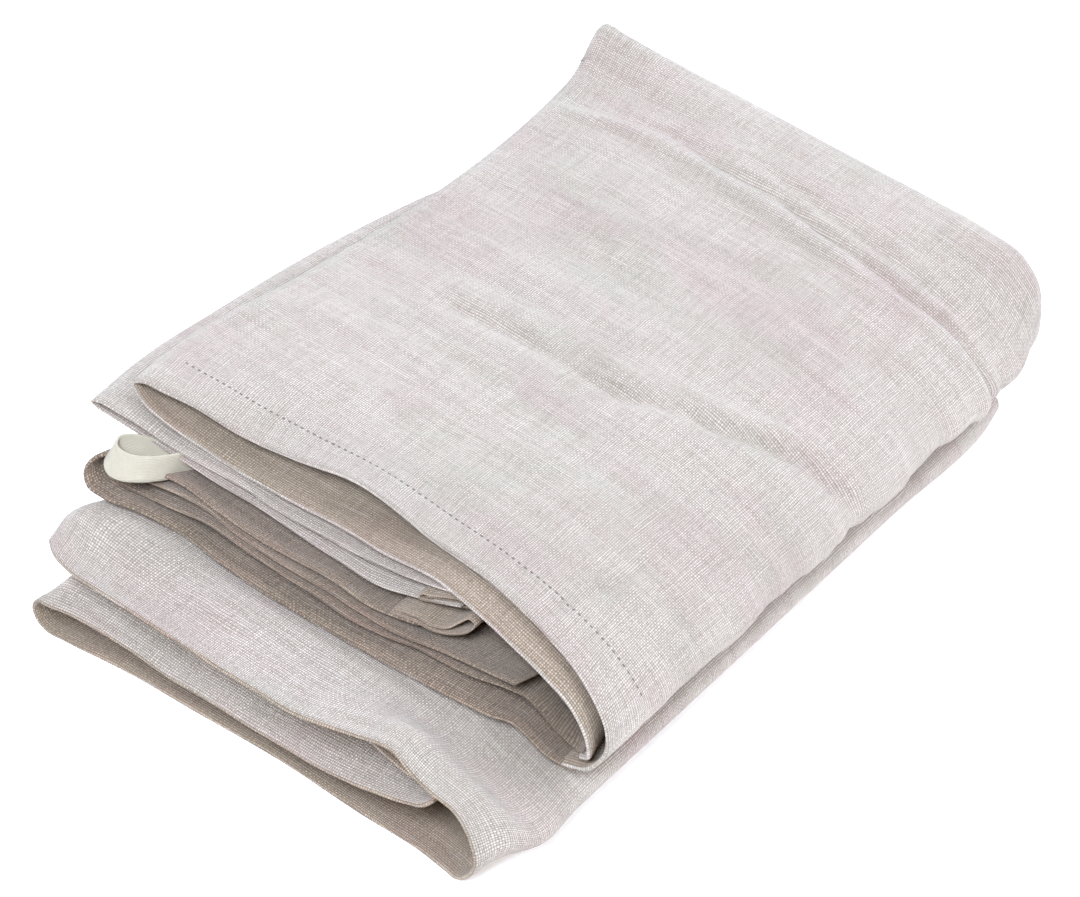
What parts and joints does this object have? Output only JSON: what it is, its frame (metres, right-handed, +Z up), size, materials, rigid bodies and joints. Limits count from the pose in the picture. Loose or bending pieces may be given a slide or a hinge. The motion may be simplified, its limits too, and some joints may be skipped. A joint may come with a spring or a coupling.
{
  "type": "folded linen gift bag",
  "caption": "Natural linen cloth gift bag folded flat into a loose two-layer stack, with a stitched mouth hem and a cotton tape loop.",
  "frame": {"origin": "middle of the footprint, on the surface the folded bag lies on", "axes": "+X across the folded bag, towards its folded right side; +Y along it, away from the open mouth, towards the crosswise fold; +Z up"},
  "size_m": [0.294, 0.43, 0.088],
  "materials": {
    "linen_cloth": "plain-weave natural linen, matt, soft, with slubs and faint pink and grey-green patches",
    "cotton_tape": "off-white ribbed twill tape, matt",
    "stitching_thread": "taupe sewing thread, slightly lustrous"
  },
  "bodies": {
    "base_stack": {"base_bottom_leaf": "linen_cloth", "base_right_fold": "linen_cloth", "base_top_leaf": "linen_cloth", "base_left_upper_fold": "linen_cloth", "base_lining_upper_leaf": "linen_cloth", "base_lining_hook": "linen_cloth", "base_lining_lower_leaf": "linen_cloth", "base_left_lower_fold": "linen_cloth", "cross_fold_lower": "linen_cloth"},
    "mouth_stack": {"mouth_front_bottom_leaf": "linen_cloth", "mouth_lining_bottom_leaf": "linen_cloth", "mouth_outer_fold": "linen_cloth", "mouth_inner_fold": "linen_cloth", "mouth_left_lower_fold": "linen_cloth", "mouth_front_leaf": "linen_cloth", "mouth_lining_leaf": "linen_cloth", "mouth_front_hem": "linen_cloth", "mouth_lining_hem": "linen_cloth", "mouth_hem_stitches": "stitching_thread", "mouth_left_seam": "linen_cloth", "tucked_leaf": "linen_cloth", "inner_ply_upper": "linen_cloth", "inner_ply_lower": "linen_cloth", "corner_flap": "linen_cloth", "seam_edge_upper": "linen_cloth", "seam_edge_lower": "linen_cloth", "cross_fold_upper": "linen_cloth", "tape_tail": "cotton_tape"},
    "mouth_corner": {"mouth_front_corner": "linen_cloth", "mouth_lining_corner": "linen_cloth", "corner_front_hem": "linen_cloth", "corner_lining_hem": "linen_cloth", "corner_hem_stitches": "stitching_thread", "corner_left_seam": "linen_cloth"},
    "loop": {"tape_loop": "cotton_tape"}
  },
  "joints": [
    {"name": "crosswise_unfold", "type": "hinge", "parent": "base_stack", "child": "mouth_stack", "pos_m": [0, 0.2155, 0.05], "axis": [-1, 0, 0], "range_deg": [0, 180]},
    {"name": "corner_lift", "type": "hinge", "parent": "mouth_stack", "child": "mouth_corner", "pos_m": [-0.047, -0.0385, 0.0885], "axis": [-0.7215, 0.6924, 0], "range_deg": [0, 150]},
    {"name": "loop_swing", "type": "hinge", "parent": "mouth_stack", "child": "loop", "pos_m": [-0.09, -0.145, 0.0655], "axis": [0, 0, 1], "range_deg": [-12, 12]}
  ]
}
